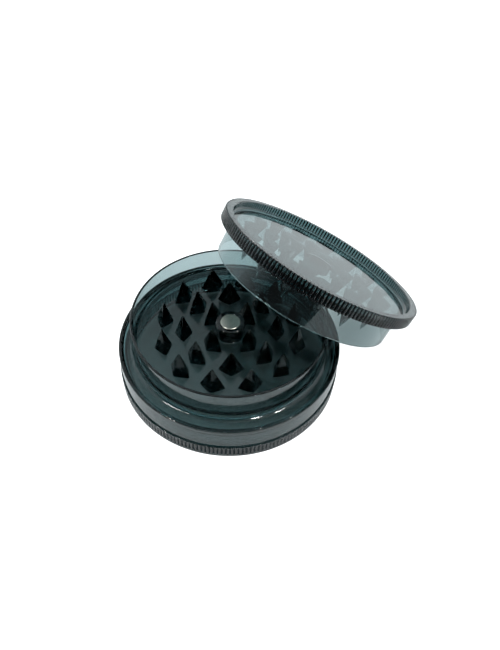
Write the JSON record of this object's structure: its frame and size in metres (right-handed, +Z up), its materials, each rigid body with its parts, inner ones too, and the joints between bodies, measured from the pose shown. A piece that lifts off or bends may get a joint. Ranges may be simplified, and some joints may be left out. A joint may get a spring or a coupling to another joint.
{
  "type": "herb grinder",
  "caption": "Round hand grinder in clear smoke-grey plastic: a storage cap, a body with a toothed chamber and magnet post, and a toothed lid leaning on the open chamber.",
  "frame": {"origin": "centre of the storage cap's flat underside, on the body's own axis", "axes": "+Z up along the axis of the cap and the body; the lid leans out towards +X and +Y"},
  "size_m": [0.1234, 0.116, 0.0608],
  "materials": {
    "smoke_plastic": "injection-moulded clear smoke-grey acrylic, polished, slightly teal",
    "nickel_plate": "nickel-plated magnet disc, satin, slightly warm"
  },
  "bodies": {
    "cap": {"cap_floor": "smoke_plastic", "cap_grip_ring": "smoke_plastic", "cap_neck": "smoke_plastic"},
    "magnet": {"post_magnet": "nickel_plate"},
    "body": {"body_outer_wall": "smoke_plastic", "body_flange": "smoke_plastic", "chamber_wall": "smoke_plastic", "chamber_floor": "smoke_plastic", "magnet_post": "smoke_plastic", "chamber_teeth_inner": "smoke_plastic", "chamber_teeth_middle": "smoke_plastic", "chamber_teeth_outer": "smoke_plastic"},
    "lid": {"lid_rim": "smoke_plastic", "lid_plate": "smoke_plastic", "lid_skirt": "smoke_plastic", "lid_boss": "smoke_plastic", "lid_teeth_inner": "smoke_plastic", "lid_teeth_middle": "smoke_plastic", "lid_teeth_outer": "smoke_plastic", "lid_magnet": "nickel_plate"}
  },
  "joints": [
    {"name": "body_rise", "type": "slide", "parent": "cap", "child": "magnet", "axis": [0, 0, 1], "range_m": [0, 0.00601]},
    {"name": "body_unscrew", "type": "hinge", "parent": "magnet", "child": "body", "pos_m": [0, 0, 0.0195], "axis": [0, 0, 1], "range_deg": [0, 720]},
    {"name": "lid_lift", "type": "slide", "parent": "body", "child": "lid", "axis": [0.4303, 0.3242, 0.8425], "range_m": [0, 0.06]}
  ],
  "couplings": [
    {"joint": "body_rise", "follows": "body_unscrew", "m_per_rad": 0.00047746}
  ]
}
